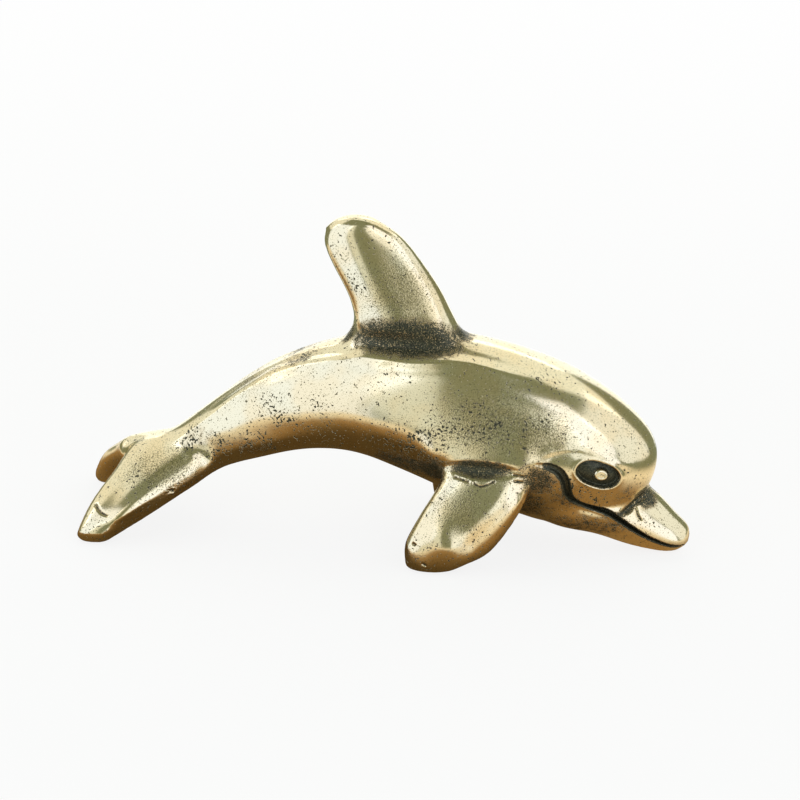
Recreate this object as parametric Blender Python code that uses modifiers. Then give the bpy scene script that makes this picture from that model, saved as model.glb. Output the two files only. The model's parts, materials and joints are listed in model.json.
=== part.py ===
"""A small solid brass dolphin, cast in one piece, that rests on its chin, fins and tail flukes.

The sculpture is blocked out as lofts, fused and softened into one skin, and then carved.
The head looks along +X, its right side faces -Y, and the table is at z = 0. Metres.
"""

import math
from collections import namedtuple

import bmesh
import bpy
import numpy as np
from mathutils import Matrix, Vector
from mathutils.bvhtree import BVHTree

# Lengths in the tables that follow are in millimetres and angles in degrees.
MM = 0.001

# Body: cross-sections from the notch of the tail to the brow, each with the place of its
# middle, how far its top leans forward, half its height, half its width, how much wider it is
# above the middle than below, and how blunt its corners are (1 is an oval, less is squarer).
Station = namedtuple("Station", "x z lean tall wide egg blunt")
BODY = (
    Station(-25.6, 6.2, -28, 0.8, 1.2, 0.0, 1.0),
    Station(-23.6, 6.8, -28, 1.7, 2.0, 0.0, 0.95),
    Station(-20.9, 7.3, -26, 2.2, 2.5, 0.0, 0.9),
    Station(-17.4, 9.0, -24, 3.1, 2.9, 0.05, 0.85),
    Station(-12.8, 11.6, -21, 4.1, 3.6, 0.05, 0.85),
    Station(-8.7, 13.5, -15, 4.8, 4.4, 0.0, 0.9),
    Station(-4.2, 14.6, -8, 5.7, 5.3, 0.0, 0.95),
    Station(0.3, 14.5, -3, 6.8, 6.1, 0.0, 1.0),
    Station(5.4, 13.8, 1, 7.9, 6.7, 0.0, 1.0),
    Station(10.3, 12.6, 8, 8.4, 7.0, 0.0, 1.0),
    Station(15.2, 11.3, 16, 8.1, 6.9, 0.05, 1.0),
    Station(19.3, 9.6, 21, 7.5, 6.4, 0.12, 1.0),
    Station(22.7, 8.7, 24, 5.9, 5.4, 0.15, 1.0),
    Station(25.0, 8.0, 25, 4.3, 4.0, 0.1, 1.0),
    Station(26.3, 7.5, 25, 2.4, 2.4, 0.0, 1.0),
    Station(26.8, 7.4, 25, 0.0, 0.0, 0.0, 1.0),
)

# Beak: cross-sections from inside the head to the tip of the snout.
BEAK = (
    Station(15.0, 6.3, 20, 2.5, 4.4, 0.0, 1.0),
    Station(18.9, 5.3, 22, 3.1, 4.9, 0.0, 1.0),
    Station(22.4, 4.6, 24, 3.1, 4.2, 0.0, 1.0),
    Station(25.6, 3.6, 25, 3.1, 3.2, -0.1, 0.95),
    Station(28.4, 2.1, 25, 2.2, 2.4, -0.1, 0.95),
    Station(30.2, 1.3, 25, 1.4, 1.7, 0.0, 1.0),
    Station(30.9, 0.9, 25, 0.0, 0.0, 0.0, 1.0),
)

# Fins: cross-sections from inside the body to the tip, each with its front and back edge
# and its thickness. The paired fins are given for the right side, and those of the left
# side sit a little further ahead or behind.
Chord = namedtuple("Chord", "front back thick")
DORSAL_FIN = (
    Chord((9.4, 0, 19.0), (-5.2, 0, 18.6), 9.6),
    Chord((7.9, 0, 21.2), (-4.2, 0, 20.8), 6.2),
    Chord((6.9, 0, 22.8), (-3.5, 0, 22.3), 4.0),
    Chord((6.1, 0, 24.3), (-3.6, 0, 23.8), 3.1),
    Chord((5.0, 0, 26.4), (-4.2, 0, 25.6), 2.8),
    Chord((3.0, 0, 29.3), (-5.5, 0, 28.0), 2.6),
    Chord((0.9, 0, 31.7), (-6.5, 0, 30.2), 2.4),
    Chord((-1.3, 0, 32.9), (-6.7, 0, 32.0), 2.1),
)
PECTORAL_FIN = (
    Chord((14.8, -3.4, 10.0), (7.0, -3.6, 10.2), 3.6),
    Chord((15.2, -6.4, 8.5), (6.4, -6.8, 8.7), 3.3),
    Chord((14.4, -7.7, 6.2), (5.1, -8.1, 6.6), 2.9),
    Chord((12.7, -8.3, 3.4), (3.8, -8.8, 4.2), 3.0),
    Chord((11.0, -8.8, 1.6), (3.1, -9.2, 2.4), 3.0),
    Chord((8.9, -9.1, 0.7), (3.3, -9.4, 1.0), 2.8),
)
FLUKE = (
    Chord((-13.2, 0.0, 8.6), (-26.2, 0.0, 6.6), 4.0),
    Chord((-15.8, -2.1, 7.0), (-26.8, -2.4, 5.8), 3.2),
    Chord((-19.6, -4.4, 4.7), (-27.9, -4.3, 4.6), 2.8),
    Chord((-23.2, -6.5, 2.5), (-29.1, -6.2, 2.9), 2.7),
    Chord((-26.4, -8.0, 0.6), (-29.9, -7.8, 0.9), 2.6),
)
DORSAL_TIP = 0.8
PECTORAL_TIP = 1.3
FLUKE_TIP = 1.1
LEFT_PECTORAL_AHEAD = 0.8
LEFT_FLUKE_AHEAD = -0.9
FIN_BLUNTNESS = 0.7

# Mouth: a groove along these places on the right cheek, (x, z), from its curled end to the
# snout, and how far it reaches into the skin at its ends, its middle and the snout.
MOUTH = (
    (15.8, 11.2), (17.2, 10.9), (18.2, 10.2), (18.8, 8.8), (19.5, 7.0),
    (22.1, 5.7), (24.0, 4.5), (26.5, 2.6), (28.9, 1.4),
)
SNOUT_HEIGHT = 0.8
GROOVE_RADIUS = (0.35, 0.60, 0.30)

# Eyes: an almond hollow with a raised pupil.
EYE_AT = (22.1, 9.9)
EYE_SIZE = (5.6, 3.2, 2.0)
EYE_TILT = -11
PUPIL_SIZE = (1.9, 1.7, 1.8)

# Skin: the grain it is fused at, how many times it is smoothed, and how many faces are kept.
GRAIN = 0.3
SMOOTHING = 8
SKIN_TRIANGLES = 8800
RING_POINTS = 40
RINGS_PER_STATION = 6
TIP_RINGS = 8

BRASS = (0.72, 0.53, 0.24, 1.0)
BRASS_ROUGHNESS = 0.28


def clear_scene():
    for obj in list(bpy.data.objects):
        bpy.data.objects.remove(obj)


def collection(name):
    made = bpy.data.collections.new(name)
    bpy.context.scene.collection.children.link(made)
    return made


def spline(rows, steps):
    """Rows of numbers off a curve that bends evenly through these rows, in so many steps each."""
    rows = np.array(rows, float)
    count = len(rows)
    bend = np.eye(count) * 4
    bend[0, 0] = bend[-1, -1] = 1
    pull = np.zeros_like(rows)
    for i in range(1, count - 1):
        bend[i, i - 1] = bend[i, i + 1] = 1
        pull[i] = 6 * (rows[i - 1] - 2 * rows[i] + rows[i + 1])
    curve = np.linalg.solve(bend, pull)
    places = np.linspace(0, count - 1, (count - 1) * steps + 1)
    left = np.clip(np.floor(places).astype(int), 0, count - 2)
    t = (places - left)[:, None]
    s = 1 - t
    bulge = (s**3 - s) * curve[left] + (t**3 - t) * curve[left + 1]
    return s * rows[left] + t * rows[left + 1] + bulge / 6


def oval(turn, blunt):
    """A point of a unit oval at this angle, with its corners filled out as blunt falls from 1."""
    across, up = math.cos(turn), math.sin(turn)
    return math.copysign(abs(across) ** blunt, across), math.copysign(abs(up) ** blunt, up)


def turns():
    return np.linspace(0, 2 * math.pi, RING_POINTS, endpoint=False)


def loft(name, rings):
    """A closed skin over rings of points. A ring whose points meet becomes a pole."""
    mesh = bpy.data.meshes.new(name)
    bm = bmesh.new()
    loops = []
    for ring in rings:
        if (ring[0] - ring[len(ring) // 2]).length < 0.01 * MM:
            loops.append([bm.verts.new(ring[0])])
        else:
            loops.append([bm.verts.new(point) for point in ring])
    for a, b in zip(loops, loops[1:]):
        for i in range(max(len(a), len(b))):
            corners = [a[i % len(a)], a[(i + 1) % len(a)], b[(i + 1) % len(b)], b[i % len(b)]]
            bm.faces.new(list(dict.fromkeys(corners)))
    for loop in (loops[0], loops[-1]):
        if len(loop) > 1:
            bm.faces.new(loop)
    bmesh.ops.recalc_face_normals(bm, faces=bm.faces)
    bm.to_mesh(mesh)
    bm.free()
    return mesh


def trunk(name, stations):
    """A loft over the stations of the body or the beak."""
    rings = []
    for row in spline(stations, RINGS_PER_STATION):
        here = Station(*row)
        lean = math.radians(here.lean)
        ring = []
        for turn in turns():
            across, up = oval(turn, here.blunt)
            side = max(here.wide, 0) * across * (1 + here.egg * up)
            up *= max(here.tall, 0)
            place = Vector((here.x + up * math.sin(lean), side, here.z + up * math.cos(lean)))
            ring.append(place * MM)
        rings.append(ring)
    return loft(name, rings)


def fin(name, chords, tip, side=1, ahead=0.0):
    """A loft over the chords of a fin, with a rounded tip that reaches past the last of them."""
    rows = spline([(*chord.front, *chord.back, chord.thick) for chord in chords], RINGS_PER_STATION)

    def ring(row, span, past=0.0):
        front, back = Vector(row[:3]), Vector(row[3:6])
        chord = (front - back) / 2
        face = chord.cross(span).normalized() * row[6] / 2
        shrink = math.sqrt(1 - past**2)
        middle = (front + back) / 2 + span * tip * past
        points = []
        for turn in turns():
            along, across = oval(turn, FIN_BLUNTNESS)
            point = middle + (chord * along + face * across) * shrink
            points.append(Vector((point.x + ahead, point.y * side, point.z)) * MM)
        return points

    spans = []
    for i in range(len(rows)):
        a, b = rows[max(i - 1, 0)], rows[min(i + 1, len(rows) - 1)]
        spans.append(Vector(b[:3] + b[3:6] - a[:3] - a[3:6]).normalized())
    rings = [ring(row, span) for row, span in zip(rows, spans)]
    for i in range(1, TIP_RINGS + 1):
        rings.append(ring(rows[-1], spans[-1], math.sin(math.pi / 2 * i / TIP_RINGS)))
    return loft(name, rings)


def fused_skin(pieces, home):
    """One object whose skin runs over all the pieces, softened where they meet."""
    bm = bmesh.new()
    for piece in pieces:
        bm.from_mesh(piece)
        bpy.data.meshes.remove(piece)
    mesh = bpy.data.meshes.new("dolphin")
    bm.to_mesh(mesh)
    bm.free()
    skin = bpy.data.objects.new("dolphin", mesh)
    home.objects.link(skin)
    fuse = skin.modifiers.new("fuse", "REMESH")
    fuse.mode = "VOXEL"
    fuse.voxel_size = GRAIN * MM
    soften = skin.modifiers.new("soften", "SMOOTH")
    soften.factor = 0.5
    soften.iterations = SMOOTHING
    return skin


def evaluated_mesh(obj):
    graph = bpy.context.evaluated_depsgraph_get()
    return bpy.data.meshes.new_from_object(obj.evaluated_get(graph), depsgraph=graph)


def tree_of(mesh):
    bm = bmesh.new()
    bm.from_mesh(mesh)
    tree = BVHTree.FromBMesh(bm)
    bm.free()
    return tree


def on_flank(tree, x, z, side=1):
    """The place and the outward direction of the skin at (x, z), on the right or the left."""
    place, normal, _, _ = tree.ray_cast(Vector((x * MM, -side, z * MM)), Vector((0, side, 0)))
    return place, normal


def cutter(name, mesh, home):
    obj = bpy.data.objects.new(name, mesh)
    obj.hide_render = True
    obj.display_type = "WIRE"
    home.objects.link(obj)
    return obj


def mouth_cutter(tree, home):
    """A rod laid along both cheeks and round the snout, thinner at its ends."""
    right = [on_flank(tree, x, z)[0] for x, z in MOUTH]
    left = [on_flank(tree, x, z, side=-1)[0] for x, z in MOUTH]
    snout = tree.ray_cast(Vector((1, 0, SNOUT_HEIGHT * MM)), Vector((-1, 0, 0)))[0]
    places = spline([*right, snout, *reversed(left)], 3)
    curve = bpy.data.curves.new("mouth_line", "CURVE")
    curve.dimensions = "3D"
    curve.bevel_depth = MM
    curve.bevel_resolution = 1
    curve.use_fill_caps = True
    line = curve.splines.new("POLY")
    line.points.add(len(places) - 1)
    for i, place in enumerate(places):
        share = min(i, len(places) - 1 - i) / (len(places) // 2)
        line.points[i].co = (*place, 1)
        line.points[i].radius = float(np.interp(share, (0, 0.5, 1), GROOVE_RADIUS))
    guide = bpy.data.objects.new("mouth_line", curve)
    home.objects.link(guide)
    mesh = evaluated_mesh(guide)
    bpy.data.objects.remove(guide)
    bm = bmesh.new()
    bm.from_mesh(mesh)
    bmesh.ops.remove_doubles(bm, verts=bm.verts, dist=0.001 * MM)
    bmesh.ops.recalc_face_normals(bm, faces=bm.faces)
    bm.to_mesh(mesh)
    bm.free()
    return cutter("mouth_groove", mesh, home)


def pebble(name, place, normal, size, tilt, home, pointed=False):
    """An ellipsoid on the skin: its length, height and depth, its length turned by tilt.

    A pointed one comes to a corner at both ends of its length, as an almond does.
    """
    tilt = math.radians(tilt)
    forward = Vector((math.cos(tilt), 0, math.sin(tilt)))
    forward = (forward - normal * forward.dot(normal)).normalized()
    axes = Matrix((forward, normal.cross(forward), normal)).transposed().to_4x4()
    shape = Matrix.Translation(place) @ axes @ Matrix.Diagonal((*[s / 2 * MM for s in size], 1))
    mesh = bpy.data.meshes.new(name)
    bm = bmesh.new()
    bmesh.ops.create_uvsphere(bm, u_segments=24, v_segments=12, radius=1)
    for vert in bm.verts:
        if pointed:
            vert.co.y *= math.sqrt(max(0.0, 1 - vert.co.x**2))
        vert.co = shape @ vert.co
    bmesh.ops.remove_doubles(bm, verts=bm.verts, dist=0.001 * MM)
    bmesh.ops.recalc_face_normals(bm, faces=bm.faces)
    bm.to_mesh(mesh)
    bm.free()
    return cutter(name, mesh, home)


def table_cutter(home):
    """A block whose top is the table."""
    mesh = bpy.data.meshes.new("table")
    bm = bmesh.new()
    bmesh.ops.create_cube(bm, size=0.1, matrix=Matrix.Translation((0, 0, -0.05)))
    bm.to_mesh(mesh)
    bm.free()
    return cutter("table", mesh, home)


def carve(skin, tool, operation="DIFFERENCE"):
    cut = skin.modifiers.new(tool.name, "BOOLEAN")
    cut.object = tool
    cut.operation = operation
    cut.solver = "EXACT"


def brass():
    material = bpy.data.materials.new("brass")
    material.use_nodes = True
    shader = material.node_tree.nodes["Principled BSDF"]
    shader.inputs["Base Color"].default_value = BRASS
    shader.inputs["Metallic"].default_value = 1.0
    shader.inputs["Roughness"].default_value = BRASS_ROUGHNESS
    return material


def main():
    clear_scene()
    home = collection("dolphin figurine")
    tools = collection("cutters")

    pieces = [trunk("body", BODY), trunk("beak", BEAK), fin("dorsal_fin", DORSAL_FIN, DORSAL_TIP)]
    pieces.append(fin("right_pectoral_fin", PECTORAL_FIN, PECTORAL_TIP))
    pieces.append(fin("left_pectoral_fin", PECTORAL_FIN, PECTORAL_TIP, -1, LEFT_PECTORAL_AHEAD))
    pieces.append(fin("right_fluke", FLUKE, FLUKE_TIP))
    pieces.append(fin("left_fluke", FLUKE, FLUKE_TIP, -1, LEFT_FLUKE_AHEAD))
    skin = fused_skin(pieces, home)

    softened = evaluated_mesh(skin)
    softened.calc_loop_triangles()
    tree = tree_of(softened)
    thin = skin.modifiers.new("fewer_faces", "DECIMATE")
    thin.ratio = SKIN_TRIANGLES / len(softened.loop_triangles)

    carve(skin, mouth_cutter(tree, tools))
    for side, word in ((1, "right"), (-1, "left")):
        place, normal = on_flank(tree, *EYE_AT, side)
        carve(skin, pebble(f"eye_{word}", place, normal, EYE_SIZE, EYE_TILT, tools, pointed=True))
        seat = place - normal * EYE_SIZE[2] / 2 * MM
        carve(skin, pebble(f"pupil_{word}", seat, normal, PUPIL_SIZE, EYE_TILT, tools), "UNION")
    carve(skin, table_cutter(tools))
    skin.data.materials.append(brass())


main()
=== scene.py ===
"""The dolphin figurine on a pale studio floor, with its cast and polished brass skin.

The casting is blocked out from the same cross-sections as its solid, fused at a finer grain and
softened at its roots. Then its fins and flank are swollen or pressed in a little, and the mouth,
eyes and nicks are carved. Pits, grain and patina are in its material. The head looks along +X and
the camera stands on the right side of the dolphin, at -Y. Metres.
"""

import json
import math
from collections import namedtuple

import bmesh
import bpy
import numpy as np
from mathutils import Matrix, Vector
from mathutils.bvhtree import BVHTree

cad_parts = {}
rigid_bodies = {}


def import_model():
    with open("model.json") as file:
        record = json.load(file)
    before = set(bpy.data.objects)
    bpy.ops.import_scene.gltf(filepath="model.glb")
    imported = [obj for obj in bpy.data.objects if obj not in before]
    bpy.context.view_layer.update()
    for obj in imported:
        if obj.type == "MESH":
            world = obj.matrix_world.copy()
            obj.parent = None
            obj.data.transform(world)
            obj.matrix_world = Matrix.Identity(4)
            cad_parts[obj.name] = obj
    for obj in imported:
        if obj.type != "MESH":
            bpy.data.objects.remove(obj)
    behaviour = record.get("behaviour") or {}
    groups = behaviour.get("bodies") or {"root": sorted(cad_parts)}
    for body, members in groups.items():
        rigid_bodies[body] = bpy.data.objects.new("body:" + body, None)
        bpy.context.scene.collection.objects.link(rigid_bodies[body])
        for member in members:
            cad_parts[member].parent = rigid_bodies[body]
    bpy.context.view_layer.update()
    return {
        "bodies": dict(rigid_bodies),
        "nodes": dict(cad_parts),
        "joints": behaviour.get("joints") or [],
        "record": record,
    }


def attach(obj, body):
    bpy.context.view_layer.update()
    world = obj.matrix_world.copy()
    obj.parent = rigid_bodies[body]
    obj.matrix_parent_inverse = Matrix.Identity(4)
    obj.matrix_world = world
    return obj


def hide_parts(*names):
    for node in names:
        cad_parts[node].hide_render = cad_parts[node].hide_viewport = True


MM = 0.001

# Camera: the way it looks, how far it stands from the point that it looks at, its lens, and how
# near it sees. The frame's middle lies off that point, along the frame's own width and height.
CAMERA_AZIMUTH = 6
CAMERA_ELEVATION = 22
CAMERA_ROLL = 1.6
CAMERA_DISTANCE = 500
CAMERA_LENS = 225
CAMERA_SENSOR = 36
CAMERA_NEAR = 10
LOOK_AT = (4.4, 0, 13)
FRAME_OFFSET = (-3.0, 1.34)

# Softboxes: the way they lie from the figurine, the angles that they fill, their glow and tint.
# Azimuths are counted as the camera's is, from straight in front of the figurine's right side.
Softbox = namedtuple("Softbox", "azimuth elevation wide tall glow colour")
SOFTBOXES = {
    "left_softbox": Softbox(-53, 12, 62, 80, 1.0, (0.88, 0.97, 1.22)),
    "left_edge": Softbox(-15, 12, 14, 80, 0.62, (0.98, 1.0, 1.0)),
    "right_edge": Softbox(26, 8, 14, 60, 0.95, (0.96, 1.0, 1.12)),
    "right_softbox": Softbox(45, 18, 24, 74, 1.1, (0.95, 1.0, 1.25)),
    "right_fill": Softbox(92, 22, 62, 56, 0.8, (0.98, 1.0, 1.1)),
    "top_right_fill": Softbox(152, 54, 50, 44, 0.8, (1.0, 0.99, 0.96)),
    "left_fill": Softbox(-116, 40, 62, 50, 0.75, (1.0, 0.99, 0.97)),
    "backdrop": Softbox(184, 12, 52, 60, 1.1, (0.98, 1.0, 1.05)),
}
SOFTBOX_DISTANCE = 500
LIT_POINT = (0, 0, 14)
ROOM = (0.24, 0.26, 0.16)

# Floor: its reach and paint. The brass sees a painted reflection on it, a glowing wooden tabletop
# that is an oval with this half length and half width, shifted by a share of them, with painted
# shade darkest in its middle under the figurine. Distances on it are shares of the way from its
# middle to its rim: where its colours lie, where it ends, and between which of them the share of
# the floor's own white glow grows from near to far.
FLOOR_REACH = 4000
FLOOR_PAINT = (0.9, 0.9, 0.9, 1)
WHITE = (1, 1, 1, 1)
FLOOR_GLOW = (0.85, 1.0)
FLOOR_GLOW_FROM = (2.0, 8.0)
PAINTED_TABLE_REACH = (50, 27, 50)
PAINTED_TABLE_SHIFT = (0.16, 0.05, 0)
PAINTED_TABLE_EDGE = (1.0, 1.4)
# Colours of the painted reflection: painted shade in the middle, then brown, then a pale rim.
PAINTED_TABLE_REFLECTION = (
    (0.40, (0.09, 0.055, 0.018, 1)),
    (0.72, (0.34, 0.20, 0.07, 1)),
    (1.0, (1.0, 0.90, 0.68, 1)),
)

# Body and beak: cross-sections with the place of their middle, forward lean of their top,
# half height, half width, extra width above the middle, and bluntness of their corners.
# Lengths are in millimetres and angles in degrees, as in all the tables that follow.
Station = namedtuple("Station", "x z lean tall wide egg blunt")
BODY = (
    Station(-25.6, 6.2, -28, 0.8, 1.2, 0.0, 1.0),
    Station(-23.6, 6.8, -28, 1.7, 2.0, 0.0, 0.95),
    Station(-20.9, 7.3, -26, 2.2, 2.5, 0.0, 0.9),
    Station(-17.4, 9.0, -24, 3.1, 2.9, 0.05, 0.85),
    Station(-12.8, 11.6, -21, 4.1, 3.6, 0.05, 0.85),
    Station(-8.7, 13.5, -15, 4.8, 4.4, 0.0, 0.9),
    Station(-4.2, 14.6, -8, 5.7, 5.3, 0.0, 0.95),
    Station(0.3, 14.5, -3, 6.8, 6.1, 0.0, 1.0),
    Station(5.4, 13.8, 1, 7.9, 6.7, 0.0, 1.0),
    Station(10.3, 12.6, 8, 8.4, 7.0, 0.0, 1.0),
    Station(15.2, 11.3, 16, 8.1, 6.9, 0.05, 1.0),
    Station(19.3, 9.6, 21, 7.5, 6.4, 0.12, 1.0),
    Station(22.7, 8.7, 24, 5.9, 5.4, 0.15, 1.0),
    Station(25.0, 8.0, 25, 4.3, 4.0, 0.1, 1.0),
    Station(26.3, 7.5, 25, 2.4, 2.4, 0.0, 1.0),
    Station(26.8, 7.4, 25, 0.0, 0.0, 0.0, 1.0),
)
BEAK = (
    Station(15.0, 6.3, 20, 2.5, 4.4, 0.0, 1.0),
    Station(18.9, 5.3, 22, 3.1, 4.9, 0.0, 1.0),
    Station(22.4, 4.6, 24, 3.1, 4.2, 0.0, 1.0),
    Station(25.6, 3.6, 25, 3.1, 3.2, -0.1, 0.95),
    Station(28.4, 2.1, 25, 2.2, 2.4, -0.1, 0.95),
    Station(30.2, 1.3, 25, 1.4, 1.7, 0.0, 1.0),
    Station(30.9, 0.9, 25, 0.0, 0.0, 0.0, 1.0),
)

# Fins: cross-sections from inside the body to the tip, each with its front and back edge
# and its thickness. The paired fins are given for the right side, and those of the left
# side sit a little further ahead or behind.
Chord = namedtuple("Chord", "front back thick")
DORSAL_FIN = (
    Chord((9.4, 0, 19.0), (-5.2, 0, 18.6), 9.6),
    Chord((7.9, 0, 21.2), (-4.2, 0, 20.8), 6.2),
    Chord((6.9, 0, 22.8), (-3.5, 0, 22.3), 4.0),
    Chord((6.1, 0, 24.3), (-3.6, 0, 23.8), 3.1),
    Chord((5.0, 0, 26.4), (-4.2, 0, 25.6), 2.8),
    Chord((3.0, 0, 29.3), (-5.5, 0, 28.0), 2.6),
    Chord((0.9, 0, 31.7), (-6.5, 0, 30.2), 2.4),
    Chord((-1.3, 0, 32.9), (-6.7, 0, 32.0), 2.1),
)
PECTORAL_FIN = (
    Chord((14.8, -3.4, 10.0), (7.0, -3.6, 10.2), 3.6),
    Chord((15.2, -6.4, 8.5), (6.4, -6.8, 8.7), 3.3),
    Chord((14.4, -7.7, 6.2), (5.1, -8.1, 6.6), 2.9),
    Chord((12.7, -8.3, 3.4), (3.8, -8.8, 4.2), 3.0),
    Chord((11.0, -8.8, 1.6), (3.1, -9.2, 2.4), 3.0),
    Chord((8.9, -9.1, 0.7), (3.3, -9.4, 1.0), 2.8),
)
FLUKE = (
    Chord((-13.2, 0.0, 8.6), (-26.2, 0.0, 6.6), 4.0),
    Chord((-15.8, -2.1, 7.0), (-26.8, -2.4, 5.8), 3.2),
    Chord((-19.6, -4.4, 4.7), (-27.9, -4.3, 4.6), 2.8),
    Chord((-23.2, -6.5, 2.5), (-29.1, -6.2, 2.9), 2.7),
    Chord((-26.4, -8.0, 0.6), (-29.9, -7.8, 0.9), 2.6),
)
DORSAL_TIP = 0.8
PECTORAL_TIP = 1.3
FLUKE_TIP = 1.1
LEFT_PECTORAL_AHEAD = 0.8
LEFT_FLUKE_AHEAD = -0.9
FIN_BLUNTNESS = 0.7

# Forms along a line: how far above the line they lie, their half width and their rise.
Form = namedtuple("Form", "above wide rise")

# Mouth on the right cheek, (x, z) as seen from the side, with the half width and the depth of
# its groove along the way: cheek crease, corner, middle and tip. The share of the half width
# that the groove's bed fills, where along the way the lips begin and are full, the upper lip's
# rise and slope, the lower lip off the groove's edge, and how far the jaw stands back.
MOUTH = (
    (15.8, 11.2), (17.2, 10.9), (18.2, 10.2), (18.8, 8.8), (19.5, 7.0),
    (22.1, 5.7), (24.0, 4.5), (26.5, 2.6), (28.9, 1.4), (30.2, 1.2),
)
MOUTH_WIDE = (0.20, 0.38, 0.45, 0.42, 0.36, 0.30, 0.28, 0.24, 0.21, 0.18)
MOUTH_DEEP = (0.05, 0.30, 0.45, 0.55, 0.60, 0.60, 0.60, 0.55, 0.50, 0.35)
MOUTH_BED = 0.35
LIPS_FROM = (0.35, 0.55)
LIP_RISE = 0.16
LIP_SLOPE = 0.9
LOWER_LIP = Form(-0.12, 0.16, 0.08)
JAW_SETBACK = 0.25
JAW_SLOPE = 1.2

# Eye on the right cheek: middle (x, z), half length, half height and tilt of the almond, how
# square its length and height are and how much fuller its lower front is, depth of its rim and
# rise of its ball. In shares of the way to the rim: where the socket's wall lies, where the ball
# ends, the lid round it, and the area that is worked on.
EYE_AT = (21.9, 10.0)
EYE_REACH = (2.35, 1.32)
EYE_TILT = -19
EYE_SQUARE = (2.4, 2.0)
EYE_SAG = 0.10
EYE_DEEP = 0.55
EYE_BALL = 0.25
SOCKET_WALL = (0.86, 1.04)
BALL_END = 0.9
LID = Form(1.13, 0.10, 0.07)
EYE_AREA = 1.6
EYE_OFF_PLANE = 2.5
CHEEK_SPAN = (2.0, 1.5)

# Pupil: its place in the eye, reach and rise. In shares of the way to its own rim: its wall,
# and the dimple in its middle.
PUPIL_AT = (0.25, 0.08)
PUPIL_REACH = (0.80, 0.64)
PUPIL_RISE = 0.42
PUPIL_WALL = (0.75, 1.1)
DIMPLE_DEEP = 0.06
DIMPLE_WALL = (0.3, 0.7)

# Other lines that are drawn on the right side and shared by the left, (x, z), the shares of their
# length at which they have faded in and begin to fade out, and their forms: the edge of the brow,
# and the soft ridge along the upper flank, under the dorsal fin.
Line = namedtuple("Line", "points fades forms")
BROW = Line(
    ((15.6, 11.9), (17.7, 12.6), (19.7, 12.8), (21.5, 12.2), (23.2, 11.3), (25.6, 10.2)),
    (0.15, 0.85),
    (Form(0.15, 0.45, 0.08), Form(-0.6, 0.5, -0.08)),
)
RIDGE = Line(
    (
        (-19.9, 10.3), (-17.2, 12.3), (-14.8, 14.4), (-12.3, 16.3), (-10.5, 17.4), (-5.4, 19.2),
        (-1.5, 19.9), (1.8, 19.9), (5.4, 20.1), (8.9, 20.0), (12.7, 19.2), (16.2, 18.5),
    ),
    (0.15, 0.8),
    (Form(0, 0.6, 0.18), Form(1.1, 0.7, -0.09)),
)
LINE_STEPS = 14
LINE_REACH = 4.0

# The crease of the beak below the melon, which is full from this share of its length on.
BEAK_CREASE = ((23.9, 4.9), (24.7, 5.3), (25.4, 5.9), (26.2, 6.4))
CREASE_FROM = 0.3
CREASE_WIDE = 0.35
CREASE_DEEP = 0.30

# Soft ovals: the middle, with its distance from the middle plane of the body as y, the reach
# from there, and an amount. Each lies on both sides of the body. Its core, where the amount is
# full, fills this share of its reach.
Zone = namedtuple("Zone", "at reach amount")
ZONE_CORE = 0.2

# Where the fused skin is smoothed further: the roots of the fins and beak and the dorsal tip.
SOFTENED = (
    Zone((10.5, 7.3, 9.8), (6.5, 3.0, 3.4), 1.0),
    Zone((-17.0, 2.5, 7.8), (5.5, 3.0, 3.4), 1.0),
    Zone((-23.5, 0.5, 7.0), (4.0, 3.0, 2.5), 0.8),
    Zone((2.0, 1.5, 21.8), (9.5, 3.5, 2.4), 0.7),
    Zone((25.5, 1.5, 5.8), (2.5, 3.0, 1.6), 0.3),
    Zone((-7.2, 0.5, 32.6), (2.4, 2.0, 2.2), 0.6),
)
ROOT_SMOOTHING = 60

# Faces that bulge along a line of points, (x, z), with a half width and a rise. They are looked
# for up to so many half widths off the line. On the flukes only faces that look up this much
# bulge, from none of the rise to all of it.
Swelling = namedtuple("Swelling", "points wide rise")
SWOLLEN = {
    "dorsal_fin": Swelling(((-3.6, 32.0), (-1.8, 28.0), (0.4, 24.2)), 2.4, 0.5),
    "fluke": Swelling(((-19.4, 7.9), (-21.8, 6.5), (-24.1, 4.5), (-25.1, 2.9)), 1.6, 0.45),
    "shoulder": Swelling(((5.8, 11.2), (8.4, 11.2), (11.2, 11.3), (14.0, 11.1)), 2.1, 0.55),
    "pectoral_tip": Swelling(((7.1, 4.0), (7.4, 3.3)), 1.5, 0.3),
    "tail_stock": Swelling(((-15.2, 8.1), (-12.0, 9.3), (-7.0, 10.4), (-2.0, 10.6)), 1.5, 0.35),
}
SWELLING_REACH = 3
FLUKE_TOP = (0.1, 0.6)

# The pectoral fin's front edge is bevelled below this line, (x, z) from tip to root: the half
# width and depth of the bevel, the shares of the line's length at which it has faded in and
# begins to fade out, how far it reaches in half widths, and how much its faces look outwards.
BEVEL = ((7.4, 3.4), (8.7, 4.4), (10.5, 6.3), (12.2, 8.2), (13.6, 9.9))
BEVEL_WIDE = 1.8
BEVEL_DEEP = 0.22
BEVEL_FADES = (0.3, 0.9)
BEVEL_END = (1.6, 2.6)
BEVEL_FACING = (0.0, 0.4)

# The dorsal fin's sides stand out like a wedge's. The rise grows downwards over these heights
# and fades out at the root, and it fades with how little a face looks sideways and with the
# distance from the middle plane.
WEDGE_RISE = 0.8
WEDGE_HEIGHTS = (22.5, 33.0)
WEDGE_ROOT = (20.8, 23.2)
WEDGE_FACING = (0.2, 0.95)
WEDGE_SIDE = (3, 4)

# Hollows above the roots of the pectoral fins and below that of the dorsal fin.
PRESSED = (
    Zone((10.4, 7.4, 10.3), (4.6, 1.9, 1.1), 0.45),
    Zone((2.0, 2.4, 21.3), (7.5, 1.6, 1.3), 0.30),
)

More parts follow.
